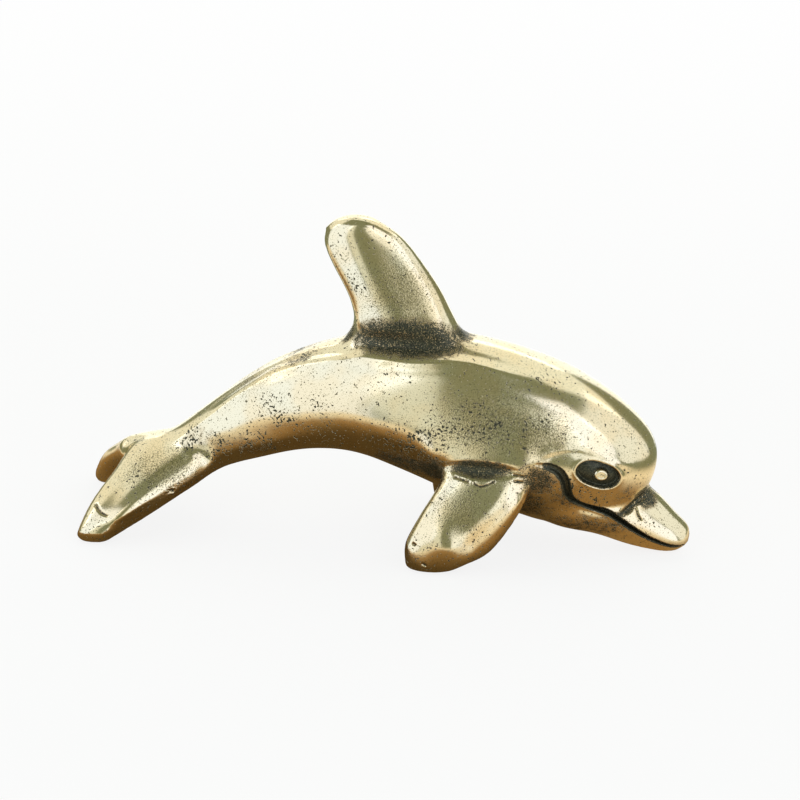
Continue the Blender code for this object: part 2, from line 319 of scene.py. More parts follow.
# Nicks on the right side, (x, z).
NICKS = (
    ((-28.2, 3.6), (-27.5, 3.1), (-26.9, 2.9)),
    ((25.6, 5.4), (25.8, 4.8), (26.1, 4.3)),
    ((7.9, 9.5), (9.2, 9.3)),
    ((9.8, 9.2), (10.6, 9.0), (11.7, 9.4)),
    ((13.6, 10.0), (14.5, 9.8)),
    ((13.7, 9.4), (14.4, 9.3)),
    ((4.1, 3.1), (4.3, 3.0)),
    ((5.2, 1.2), (5.4, 1.1)),
    ((-20.9, 5.0), (-20.7, 4.9)),
)
NICK_WIDE = 0.14
NICK_DEEP = 0.12

# Where dark patina lies on the flank and the roots, and round the dorsal fin above the ridge.
PATINA_ZONES = (
    Zone((10.2, 7.4, 10.5), (4.6, 2.2, 1.5), 1.0),
    Zone((5.4, 6.0, 9.0), (2.8, 3.0, 3.4), 0.85),
    Zone((15.8, 6.4, 9.4), (3.4, 2.2, 3.4), 0.66),
    Zone((14.0, 5.0, 6.0), (5.5, 4.0, 4.0), 0.58),
    Zone((20.5, 4.5, 3.2), (8.5, 4.5, 3.2), 0.50),
    Zone((18.6, 5.8, 7.4), (3.0, 2.5, 2.6), 0.40),
    Zone((24.6, 4.0, 7.2), (2.2, 3.0, 2.2), 0.34),
    Zone((26.6, 1.6, 6.3), (2.3, 2.4, 1.9), 0.85),
    Zone((7.6, 0.6, 22.0), (1.9, 1.4, 1.6), 0.85),
    Zone((-4.0, 0.9, 21.4), (2.0, 1.5, 1.7), 0.75),
    Zone((-18.2, 2.6, 9.4), (3.8, 2.5, 2.8), 0.26),
    Zone((-13.0, 3.6, 9.6), (5.0, 2.5, 2.0), 0.34),
    Zone((1.6, 5.0, 9.4), (5.5, 3.5, 2.6), 0.58),
    Zone((-9.0, 1.5, 18.6), (8.0, 2.2, 1.8), 0.38),
    Zone((-15.0, 0.8, 15.6), (6.0, 2.0, 1.8), 0.34),
)
COLLAR = Zone((2.2, 2.4, 21.9), (9.0, 3.4, 3.3), 1.05)
COLLAR_EDGE = (-0.15, 0.3)

# Patina in the carving: amounts, the mouth's reach past its groove and shift below its middle,
# the half width at the beak's crease, and its edges in the eye, as shares of the way to the rim
# of the eye or of the pupil. The pupil's own top is clean.
MOUTH_PATINA = 1.2
MOUTH_PATINA_CORE = 0.9
MOUTH_PATINA_PAST = 0.22
MOUTH_PATINA_SHIFT = 0.04
MOUTH_PATINA_FROM = 0.1
CREASE_PATINA = 0.9
CREASE_PATINA_WIDE = 0.45
NICK_PATINA = 0.7
EYE_PATINA = 1.2
EYE_PATINA_EDGE = (0.92, 1.12)
PUPIL_PATINA_EDGE = (0.85, 1.05)
PUPIL_PATINA_END = 1.15

# Where pits and fine grain lie.
PITTED_ZONES = (
    Zone((-18.2, 2.8, 9.6), (5.2, 3.0, 3.2), 0.9),
    Zone((-13.0, 3.6, 10.0), (5.0, 3.0, 2.6), 0.8),
    Zone((4.0, 6.0, 12.4), (6.5, 4.0, 4.6), 1.0),
    Zone((-8.0, 1.5, 18.2), (9.0, 3.0, 2.8), 0.9),
    Zone((-9.0, 4.0, 14.0), (9.0, 3.0, 3.8), 0.75),
    Zone((9.5, 6.0, 14.5), (9.0, 3.5, 5.0), 0.75),
    Zone((15.5, 6.0, 14.5), (5.0, 3.5, 4.0), 0.75),
    Zone((15.5, 3.0, 17.8), (5.0, 3.5, 3.0), 0.6),
    Zone((3.0, 5.0, 8.4), (6.0, 4.0, 4.0), 0.9),
    Zone((-24.0, 4.5, 5.0), (4.0, 4.0, 3.0), 0.65),
    Zone((-3.6, 1.0, 28.0), (3.4, 1.8, 5.0), 0.7),
    Zone((6.0, 8.5, 7.0), (4.0, 2.5, 3.0), 0.6),
    Zone((20.0, 5.5, 7.5), (5.0, 3.0, 3.6), 0.95),
    Zone((27.6, 2.4, 4.4), (2.6, 2.4, 2.0), 0.5),
)
GRAINY_ZONES = (
    Zone((11.0, 5.5, 14.5), (8.0, 4.0, 5.5), 1.0),
    Zone((16.0, 5.5, 14.0), (4.5, 4.0, 4.0), 1.0),
    Zone((1.0, 1.0, 26.0), (5.5, 2.0, 6.0), 0.9),
    Zone((8.5, 9.0, 6.5), (4.5, 2.5, 4.0), 0.9),
    Zone((10.4, 7.2, 9.8), (5.0, 2.5, 2.2), 1.0),
    Zone((-22.0, 4.0, 6.5), (6.0, 3.5, 4.5), 0.9),
    Zone((-14.0, 1.5, 15.5), (8.0, 2.5, 3.4), 0.7),
)
PITTING_ALL_OVER = 0.25
GRAIN_ALL_OVER = 0.08

# Brass, its duller grain and the patina, as linear colours, and where the broad noise turns the
# brass from warm to pale and the fine noise turns the patina pale.
PALE_BRASS = (0.84, 0.75, 0.54, 1)
WARM_BRASS = (0.855, 0.715, 0.47, 1)
BROWN_BRASS = (0.30, 0.20, 0.085, 1)
DULL_BRASS = (0.22, 0.19, 0.09, 1)
PATINA = (0.018, 0.020, 0.014, 1)
PALE_PATINA = (0.10, 0.10, 0.06, 1)
PALE_EDGE = (0.35, 0.65)
PALE_PATINA_EDGE = (0.35, 0.7)

# Noises of the brass: the width of their grains in millimetres, and their detail.
Noise = namedtuple("Noise", "size detail")
CROWDING = Noise(2.0, 3.0)
FINE = Noise(0.11, 2.0)
MIDDLING = Noise(0.55, 2.0)
BROAD = Noise(3.5, 2.0)
SPECKS = Noise(0.26, 2.5)
CLEAN_GRAINS = Noise(0.14, 1.0)

# Patina of the brass: how far fine and middling noise move its edge, how much of it a place needs
# at all, and where it begins and is full. Bright grains show through it where it isn't thick,
# and a brown tarnish surrounds it.
PATINA_RAGGED = 1.5
PATINA_BLOTCHED = 0.9
PATINA_NEEDED = (0.02, 0.2)
PATINA_EDGE = (0.42, 0.62)
CLEAN_GRAIN_EDGE = (0.57, 0.66)
THICK_PATINA = (1.15, 1.0)
TARNISH_BLOTCHED = 0.7
TARNISH_EDGE = (0.12, 0.6)
TARNISH_SHARE = 0.7

# Pits of the brass: where they crowd and how many more there are then, the cells of big pits in
# millimetres, their growth with the pitting of a place, how ragged they are and the share of
# their reach that is sunk all the way, and the same growth and edge for specks.
CROWDING_EDGE = (0.38, 0.62)
CROWDED = 0.75
UNCROWDED = 0.25
PIT_CELL = 0.7
PIT_GROWTH = 0.26
PIT_RAGGED = 0.5
PIT_FLOOR = 0.75
SPECK_GROWTH = 0.17
SPECK_EDGE = (0.68, 0.72)

# Grit of the brass: how it grows with grain and pitting, where it shows and how much it dulls.
GRIT_BY_GRAIN = 0.15
GRIT_BY_PITTING = 0.08
GRIT_EDGE = (0.62, 0.72)
GRIT_DULLS = 0.8

# Gloss of the brass, what grit and stain add to its roughness, what stain takes off its metal,
# and the depth of pits and patina and the rise of grain, in millimetres.
ROUGHNESS = 0.15
GRIT_ROUGHNESS = 0.12
STAIN_ROUGHNESS = 0.22
STAIN_UNMETAL = 0.5
PIT_DEEP = 0.04
PATINA_DEEP = 0.02
GRAIN_RISE = 0.02

# Grain of the fused skin, how many times all of it is smoothed, and how far each time moves it.
GRAIN = 0.28
SMOOTHING = 11
SMOOTHING_STEP = 0.5

# Faces are cut in four this near the carving, once and twice. Nicks count as a little further
# off. At the eye a millimetre counts as a third of the way to its rim, and only what lies this
# near its plane is cut. Then all this near the mouth, or in the area of the eye, is smoothed.
FINE_REACH = (1.3, 0.75)
NICKS_FURTHER = 0.2
EYE_REACH_PER_MM = 1 / 3
EYE_FINE_DEPTH = 2.0
FINE_SMOOTHING = 6
FINE_SMOOTHING_REACH = 1.6

# Lofts: points in a ring, rings from one cross-section to the next, rings of a fin's tip, and
# how near each other two points of a ring meet. Rays that find the flank start this far off, and
# the nearest place on a line is found for so many vertices at once.
RING_POINTS = 96
RINGS_PER_STATION = 10
TIP_RINGS = 14
MEETING = 0.01
RAY_START = 100
NEAREST_AT_ONCE = 4000


def spline(rows, steps):
    """Rows of numbers off a curve that bends evenly through these rows, in so many steps each."""
    rows = np.array(rows, float)
    count = len(rows)
    bend = np.eye(count) * 4
    bend[0, 0] = bend[-1, -1] = 1
    pull = np.zeros_like(rows)
    for i in range(1, count - 1):
        bend[i, i - 1] = bend[i, i + 1] = 1
        pull[i] = 6 * (rows[i - 1] - 2 * rows[i] + rows[i + 1])
    curve = np.linalg.solve(bend, pull)
    places = np.linspace(0, count - 1, (count - 1) * steps + 1)
    left = np.clip(np.floor(places).astype(int), 0, count - 2)
    t = (places - left)[:, None]
    s = 1 - t
    bulge = (s**3 - s) * curve[left] + (t**3 - t) * curve[left + 1]
    return s * rows[left] + t * rows[left + 1] + bulge / 6


def oval(turn, blunt):
    """A point of a unit oval at this angle, with its corners filled out as blunt falls from 1."""
    across, up = math.cos(turn), math.sin(turn)
    return math.copysign(abs(across) ** blunt, across), math.copysign(abs(up) ** blunt, up)


def turns():
    """The angles at which the points of a ring lie."""
    return np.linspace(0, 2 * math.pi, RING_POINTS, endpoint=False)


def loft(name, rings):
    """A closed skin over rings of points. A ring whose points meet becomes a pole."""
    mesh = bpy.data.meshes.new(name)
    bm = bmesh.new()
    loops = []
    for ring in rings:
        if (ring[0] - ring[len(ring) // 2]).length < MEETING * MM:
            loops.append([bm.verts.new(ring[0])])
        else:
            loops.append([bm.verts.new(point) for point in ring])
    for a, b in zip(loops, loops[1:]):
        for i in range(max(len(a), len(b))):
            corners = [a[i % len(a)], a[(i + 1) % len(a)], b[(i + 1) % len(b)], b[i % len(b)]]
            bm.faces.new(list(dict.fromkeys(corners)))
    for loop in (loops[0], loops[-1]):
        if len(loop) > 1:
            bm.faces.new(loop)
    bmesh.ops.recalc_face_normals(bm, faces=bm.faces)
    bm.to_mesh(mesh)
    bm.free()
    return mesh


def trunk(name, stations):
    """A loft over the stations of the body or the beak."""
    rings = []
    for row in spline(stations, RINGS_PER_STATION):
        here = Station(*row)
        lean = math.radians(here.lean)
        ring = []
        for turn in turns():
            across, up = oval(turn, here.blunt)
            side = max(here.wide, 0) * across * (1 + here.egg * up)
            up *= max(here.tall, 0)
            place = Vector((here.x + up * math.sin(lean), side, here.z + up * math.cos(lean)))
            ring.append(place * MM)
        rings.append(ring)
    return loft(name, rings)


def fin(name, chords, tip, side=1, ahead=0.0):
    """A loft over the chords of a fin, with a rounded tip that reaches past the last of them."""
    rows = spline([(*chord.front, *chord.back, chord.thick) for chord in chords], RINGS_PER_STATION)

    def ring(row, span, past=0.0):
        front, back = Vector(row[:3]), Vector(row[3:6])
        chord = (front - back) / 2
        face = chord.cross(span).normalized() * row[6] / 2
        shrink = math.sqrt(1 - past**2)
        middle = (front + back) / 2 + span * tip * past
        points = []
        for turn in turns():
            along, across = oval(turn, FIN_BLUNTNESS)
            point = middle + (chord * along + face * across) * shrink
            points.append(Vector((point.x + ahead, point.y * side, point.z)) * MM)
        return points

    spans = []
    for i in range(len(rows)):
        a, b = rows[max(i - 1, 0)], rows[min(i + 1, len(rows) - 1)]
        spans.append(Vector(b[:3] + b[3:6] - a[:3] - a[3:6]).normalized())
    rings = [ring(row, span) for row, span in zip(rows, spans)]
    for i in range(1, TIP_RINGS + 1):
        rings.append(ring(rows[-1], spans[-1], math.sin(math.pi / 2 * i / TIP_RINGS)))
    return loft(name, rings)


def fused(pieces):
    """One mesh whose skin runs over all the pieces."""
    bm = bmesh.new()
    for piece in pieces:
        bm.from_mesh(piece)
        bpy.data.meshes.remove(piece)
    mesh = bpy.data.meshes.new("blocked_out")
    bm.to_mesh(mesh)
    bm.free()
    blocked = bpy.data.objects.new("blocked_out", mesh)
    bpy.context.scene.collection.objects.link(blocked)
    fuse = blocked.modifiers.new("fuse", "REMESH")
    fuse.mode = "VOXEL"
    fuse.voxel_size = GRAIN * MM
    graph = bpy.context.evaluated_depsgraph_get()
    whole = bpy.data.meshes.new_from_object(blocked.evaluated_get(graph), depsgraph=graph)
    bpy.data.objects.remove(blocked)
    bpy.data.meshes.remove(mesh)
    return whole


def places_of(mesh):
    """Where the vertices lie."""
    co = np.empty(len(mesh.vertices) * 3)
    mesh.vertices.foreach_get("co", co)
    return co.reshape(-1, 3)


def move_to(mesh, co):
    """Moves the vertices to these places."""
    mesh.vertices.foreach_set("co", co.ravel())
    mesh.update()


def normals_of(mesh):
    """Which way the skin looks at the vertices."""
    normals = np.empty(len(mesh.vertices) * 3)
    mesh.vertex_normals.foreach_get("vector", normals)
    return normals.reshape(-1, 3)


def edges_of(mesh):
    """The two vertices of each edge."""
    ends = np.empty(len(mesh.edges) * 2, np.int32)
    mesh.edges.foreach_get("vertices", ends)
    return ends.reshape(-1, 2)


def relaxed(values, ends, times, share=1.0):
    """Values at the vertices, drawn so many times towards the mean of their neighbours, by a
    share of the full step."""
    count = len(values)
    a, b = ends[:, 0], ends[:, 1]
    links = np.bincount(a, minlength=count) + np.bincount(b, minlength=count)
    values = values.copy()
    weight = SMOOTHING_STEP * np.broadcast_to(share, count)
    for _ in range(times):
        for k in range(values.shape[1]):
            column = values[:, k]
            total = np.bincount(a, column[b], count) + np.bincount(b, column[a], count)
            values[:, k] = column + weight * (total / links - column)
    return values


def blocked_out():
    """The whole form before it is carved: body, beak and fins in one softened skin."""
    pieces = [trunk("body", BODY), trunk("beak", BEAK), fin("dorsal_fin", DORSAL_FIN, DORSAL_TIP)]
    pieces.append(fin("right_pectoral_fin", PECTORAL_FIN, PECTORAL_TIP))
    pieces.append(fin("left_pectoral_fin", PECTORAL_FIN, PECTORAL_TIP, -1, LEFT_PECTORAL_AHEAD))
    pieces.append(fin("right_fluke", FLUKE, FLUKE_TIP))
    pieces.append(fin("left_fluke", FLUKE, FLUKE_TIP, -1, LEFT_FLUKE_AHEAD))
    mesh = fused(pieces)
    co = relaxed(places_of(mesh), edges_of(mesh), SMOOTHING)
    co[:, 2] = np.maximum(co[:, 2], 0)
    move_to(mesh, co)
    return mesh


def ramp(value, low, high):
    """0 below low and 1 above high, with an even bend between them."""
    t = np.clip((value - low) / (high - low), 0, 1)
    return t * t * (3 - 2 * t)


def swell(away, wide):
    """1 at no distance, falling away evenly to both sides over this half width."""
    return np.exp(-(away / wide)**2)


def faded(along, fades):
    """1 along a line, and falling to 0 at both of its ends."""
    fade_in, fade_out = fades
    return ramp(along, 0, fade_in) * (1 - ramp(along, fade_out, 1))


def folded(vectors):
    """The same vectors, with the left side of the body laid over the right."""
    vectors = vectors.copy()
    vectors[:, 1] = np.abs(vectors[:, 1])
    return vectors


def folded_skin(mesh):
    """Places of the vertices in millimetres and their normals, both folded."""
    return folded(places_of(mesh) / MM), folded(normals_of(mesh))


def inside(mm, zones):
    """How far inside these soft ovals each place lies, up to their amounts."""
    value = np.zeros(len(mm))
    for zone in zones:
        away = np.linalg.norm((mm - zone.at) / zone.reach, axis=1)
        value = np.maximum(value, zone.amount * (1 - ramp(away, ZONE_CORE, 1)))
    return value


def tree_of(mesh):
    """The mesh as a tree that rays can be cast on."""
    bm = bmesh.new()
    bm.from_mesh(mesh)
    tree = BVHTree.FromBMesh(bm)
    bm.free()
    return tree


def on_flank(tree, x, z):
    """The place on the flank at this x and z, in millimetres, with its side laid over."""
    place = tree.ray_cast(Vector((x * MM, -RAY_START * MM, z * MM)), Vector((0, 1, 0)))[0]
    return x, abs(place.y) / MM, z


def drawn(tree, points):
    """A fine line over the flank through these points, (x, z)."""
    return spline([on_flank(tree, *point) for point in points], LINE_STEPS)


def beside(mm, facing, line, reach=LINE_REACH):
    """The distance of each place from a line, above it or below (negative), and how far along
    the line its nearest point lies, from 0 to 1. Places beyond the reach get the reach."""
    above = np.full(len(mm), reach)
    along = np.zeros(len(mm))
    near = np.nonzero(
        np.all((mm > line.min(0) - reach) & (mm < line.max(0) + reach), axis=1)
    )[0]
    tangents = np.gradient(line, axis=0)
    for part in np.array_split(near, max(1, len(near) // NEAREST_AT_ONCE)):
        gaps = np.linalg.norm(mm[part, None] - line[None], axis=2)
        nearest = gaps.argmin(1)
        up = np.cross(tangents[nearest], facing[part])
        side = np.sign(np.sum((mm[part] - line[nearest]) * up, axis=1))
        above[part] = gaps.min(1) * np.where(side == 0, 1, side)
        along[part] = nearest / (len(line) - 1)
    return above, along


def eye_frame(tree):
    """The middle of the eye and its three directions: along, up and out of the cheek."""
    x, z = EYE_AT
    ahead, above = CHEEK_SPAN
    around = ((0, 0), (-ahead, 0), (ahead, 0), (0, -above), (0, above))
    middle, back, front, low, high = (np.array(on_flank(tree, x + a, z + b)) for a, b in around)
    out = np.cross(high - low, front - back)
    out /= np.linalg.norm(out)
    if out[1] < 0:
        out = -out
    tilt = math.radians(EYE_TILT)
    along = np.array((math.cos(tilt), 0, math.sin(tilt)))
    along -= out * along.dot(out)
    along /= np.linalg.norm(along)
    up = np.cross(along, out)
    return middle, along, up, out


def in_eye(mm, frame):
    """Places along and up from the middle of the eye, how far off its plane they lie, and how
    far from its middle, 0, to the almond's rim, 1, which is fuller at the lower front."""
    middle, along, up, out = frame
    away = mm - middle
    a, b = away @ along, away @ up
    half, tall = EYE_REACH
    sag = 1 + EYE_SAG * a / half * np.where(b < 0, 1, -1)
    square_a, square_b = EYE_SQUARE
    rim = (np.abs(a / half) ** square_a + np.abs(b / (tall * sag)) ** square_b) ** 0.5
    return a, b, np.abs(away @ out), rim


def refined(mesh, near):
    """Cuts in four the faces whose corners all lie where near says so."""
    bm = bmesh.new()
    bm.from_mesh(mesh)
    bm.verts.ensure_lookup_table()
    edges = [edge for edge in bm.edges if near[edge.verts[0].index] and near[edge.verts[1].index]]
    bmesh.ops.subdivide_edges(bm, edges=edges, cuts=1, use_grid_fill=True)
    bm.to_mesh(mesh)
    bm.free()


def cut_finer(mesh, lines, nicks, eye):
    """Cuts the faces near the carving finer, and smooths those round the first line and the eye."""
    for reach in FINE_REACH:
        mm, facing = folded_skin(mesh)
        close = np.min([np.abs(beside(mm, facing, line)[0]) for line in lines], axis=0)
        on_right = places_of(mesh)[:, 1] < 0
        for nick in nicks:
            gap = np.abs(beside(mm, facing, nick)[0]) + NICKS_FURTHER
            close = np.minimum(close, np.where(on_right, gap, LINE_REACH))
        depth, rim = in_eye(mm, eye)[2:]
        in_reach = (rim < 1 + reach * EYE_REACH_PER_MM) & (depth < EYE_FINE_DEPTH)
        refined(mesh, (close < reach) | in_reach)
    mm, facing = folded_skin(mesh)
    depth, rim = in_eye(mm, eye)[2:]
    close = np.abs(beside(mm, facing, lines[0])[0]) < FINE_SMOOTHING_REACH
    close |= (rim < EYE_AREA) & (depth < EYE_FINE_DEPTH)
    move_to(mesh, relaxed(places_of(mesh), edges_of(mesh), FINE_SMOOTHING, close))


def moulded(tree, mm, normals, outwards):
    """How far the broad forms rise: swellings, hollows, the bevel, the ridge and the brow.
    Outwards says how much the skin looks away from the middle plane."""
    facing = folded(normals)
    rise = -inside(mm, PRESSED)
    for name, swelling in SWOLLEN.items():
        wide = swelling.wide
        above = beside(mm, facing, drawn(tree, swelling.points), SWELLING_REACH * wide)[0]
        share = ramp(normals[:, 2], *FLUKE_TOP) if name == "fluke" else 1
        rise += share * swelling.rise * swell(above, wide)

    above, along = beside(mm, facing, drawn(tree, BEVEL), SWELLING_REACH * BEVEL_WIDE)
    full, end = BEVEL_END
    share = faded(along, BEVEL_FADES) * ramp(outwards, *BEVEL_FACING)
    share *= 1 - ramp(np.abs(above), full * BEVEL_WIDE, end * BEVEL_WIDE)
    rise -= share * BEVEL_DEEP * ramp(-above, 0, BEVEL_WIDE)

    for line in (RIDGE, BROW):
        above, along = beside(mm, facing, drawn(tree, line.points))
        for form in line.forms:
            rise += faded(along, line.fades) * form.rise * swell(above - form.above, form.wide)
    return rise


def carved(above, along):
    """How far the mouth's groove, lips and jaw rise, by the way above and along its line."""
    stops = np.linspace(0, 1, len(MOUTH_WIDE))
    wide, deep = np.interp(along, stops, MOUTH_WIDE), np.interp(along, stops, MOUTH_DEEP)
    upper_lip = LIP_RISE * np.where(above > 0, np.exp(-np.maximum(above - wide, 0) / LIP_SLOPE), 0)
    lower_lip = LOWER_LIP.rise * swell(above + wide - LOWER_LIP.above, LOWER_LIP.wide)
    jaw = JAW_SETBACK * np.where(above < 0, np.exp(above / JAW_SLOPE), 0)
    groove = deep * (1 - ramp(np.abs(above), MOUTH_BED * wide, wide))
    return ramp(along, *LIPS_FROM) * (upper_lip + lower_lip - jaw) - groove


def mouth_patina(above, along):
    """How dark the mouth's groove and its edges are."""
    wide = np.interp(along, np.linspace(0, 1, len(MOUTH_WIDE)), MOUTH_WIDE)
    away = np.abs(above + MOUTH_PATINA_SHIFT)
    dark = 1 - ramp(away, MOUTH_PATINA_CORE * wide, wide + MOUTH_PATINA_PAST)
    return MOUTH_PATINA * dark * ramp(along, 0, MOUTH_PATINA_FROM)


def wedge(mm, facing):
    """How far the sides of the dorsal fin stand out towards its root."""
    share = (1 - ramp(mm[:, 2], *WEDGE_HEIGHTS)) * ramp(mm[:, 2], *WEDGE_ROOT)
    share *= ramp(facing[:, 1], *WEDGE_FACING) * (1 - ramp(mm[:, 1], *WEDGE_SIDE))
    return WEDGE_RISE * share


def eye_lift(rim, pupil_rim):
    """How far the eye's socket, ball, pupil and lid stand out of the cheek."""
    socket = 1 - ramp(rim, *SOCKET_WALL)
    ball = EYE_BALL * np.clip(1 - (rim / BALL_END)**2, 0, 1)
    pupil = PUPIL_RISE * (1 - ramp(pupil_rim, *PUPIL_WALL))
    pupil -= DIMPLE_DEEP * (1 - ramp(pupil_rim, *DIMPLE_WALL))
    return (ball + pupil - EYE_DEEP) * socket + LID.rise * swell(rim - LID.above, LID.wide)


def sculpted():
    """The whole casting: softened at its roots, moulded, carved, and marked for its material."""
    mesh = blocked_out()
    co = places_of(mesh)
    soft = inside(folded(co / MM), SOFTENED)
    move_to(mesh, relaxed(co, edges_of(mesh), ROOT_SMOOTHING, soft))

    tree = tree_of(mesh)
    mouth, crease = drawn(tree, MOUTH), drawn(tree, BEAK_CREASE)
    nicks = [drawn(tree, nick) for nick in NICKS]
    eye = eye_frame(tree)
    cut_finer(mesh, (mouth, crease), nicks, eye)

    co, normals = places_of(mesh), normals_of(mesh)
    mm, facing = folded_skin(mesh)
    side = np.sign(co[:, 1])
    over_mouth, along_mouth = beside(mm, facing, mouth)
    over_crease, along_crease = beside(mm, facing, crease)
    nicked = np.max([swell(beside(mm, facing, nick)[0], NICK_WIDE) for nick in nicks], axis=0)
    nicked *= side < 0
    rise = moulded(tree, mm, normals, normals[:, 1] * side) + carved(over_mouth, along_mouth)
    rise -= CREASE_DEEP * ramp(along_crease, 0, CREASE_FROM) * swell(over_crease, CREASE_WIDE)
    rise -= NICK_DEEP * nicked
    co += normals * rise[:, None] * MM
    co[:, 1] += wedge(mm, facing) * side * MM

    a, b, depth, rim = in_eye(mm, eye)
    in_area = (rim < EYE_AREA) & (depth < EYE_OFF_PLANE)
    pupil_rim = np.hypot((a - PUPIL_AT[0]) / PUPIL_REACH[0], (b - PUPIL_AT[1]) / PUPIL_REACH[1])
    out_of_cheek = np.broadcast_to(eye[3], co.shape).copy()
    out_of_cheek[:, 1] *= side
    co += out_of_cheek * np.where(in_area, eye_lift(rim, pupil_rim), 0)[:, None] * MM
    co[:, 2] = np.maximum(co[:, 2], 0)
    move_to(mesh, co)

    over_ridge = beside(mm, facing, drawn(tree, RIDGE.points))[0]
    patina = np.max([
        inside(mm, PATINA_ZONES),
        inside(mm, [COLLAR]) * ramp(over_ridge, *COLLAR_EDGE),
        mouth_patina(over_mouth, along_mouth),
        CREASE_PATINA * swell(over_crease, CREASE_PATINA_WIDE),
        NICK_PATINA * nicked,
        EYE_PATINA * np.where(in_area, 1 - ramp(rim, *EYE_PATINA_EDGE), 0),
    ], axis=0)
    round_pupil = EYE_PATINA * ramp(pupil_rim, *PUPIL_PATINA_EDGE)
    patina = np.where(in_area & (pupil_rim < PUPIL_PATINA_END), round_pupil, patina)
    rough = np.where(in_area & (pupil_rim < 1), 0, 1)
    fields = {
        "patina": patina,
        "pitting": np.maximum(inside(mm, PITTED_ZONES), PITTING_ALL_OVER) * rough,
        "grain": np.maximum(inside(mm, GRAINY_ZONES), GRAIN_ALL_OVER) * rough,
    }
    for name, values in fields.items():
        attribute = mesh.attributes.new(name, "FLOAT", "POINT")
        attribute.data.foreach_set("value", values.astype(np.float32))

    for polygon in mesh.polygons:
        polygon.use_smooth = True
    casting = bpy.data.objects.new("dolphin_casting", mesh)
    bpy.context.scene.collection.objects.link(casting)
    return casting


class Nodes:
    """Short ways to add the nodes of one material. A value is a number, a colour or a socket."""

    def __init__(self, tree):
        self.tree = tree

    def put(self, kind, values, **settings):
        node = self.tree.nodes.new("ShaderNode" + kind)
        for name, value in settings.items():
            setattr(node, name, value)
        for name, value in values.items():
            if isinstance(value, bpy.types.NodeSocket):
                self.tree.links.new(value, node.inputs[name])
            else:
                node.inputs[name].default_value = value
        return node

    def math(self, operation, a, b=0.0, c=0.0):
        return self.put("Math", {0: a, 1: b, 2: c}, operation=operation).outputs[0]

    def ramp(self, value, low, high):
        """0 at low and 1 at high, with an even bend between them."""
        ends = {"Value": value, "From Min": low, "From Max": high}
        return self.put("MapRange", ends, interpolation_type="SMOOTHSTEP").outputs[0]

    def mix(self, share, a, b):
        """A share of colour b in colour a. A Mix node has its colours at sockets 6 and 7."""
        return self.put("Mix", {0: share, 6: a, 7: b}, data_type="RGBA").outputs[2]

    def shade(self, share, a, b):
        """A share of shader b in shader a."""
        return self.put("MixShader", {0: share, 1: a, 2: b}).outputs[0]

    def to_camera(self, a, b):
        """Shader b for the camera itself, and shader a for everything else."""
        return self.shade(self.put("LightPath", {}).outputs["Is Camera Ray"], a, b)

    def field(self, name):
        return self.put("Attribute", {}, attribute_name=name).outputs["Fac"]

    def noise(self, where, noise):
        """Noise from 0 to 1 about 0.5."""
        values = {"Vector": where, "Scale": 1 / noise.size, "Detail": noise.detail}
        return self.put("TexNoise", values).outputs["Fac"]

    def pits(self, where, ragged, share):
        """1 inside pits, one at most in each cell, which grow with the share."""
        cells = self.put("TexVoronoi", {"Vector": where, "Scale": 1 / PIT_CELL})
        luck = self.put("SeparateColor", {"Color": cells.outputs["Color"]}).outputs[0]
        reach = self.math("MULTIPLY", luck, share)
        away = self.math("MULTIPLY_ADD", ragged, PIT_RAGGED, cells.outputs["Distance"])
        return self.ramp(away, reach, self.math("MULTIPLY", reach, PIT_FLOOR))


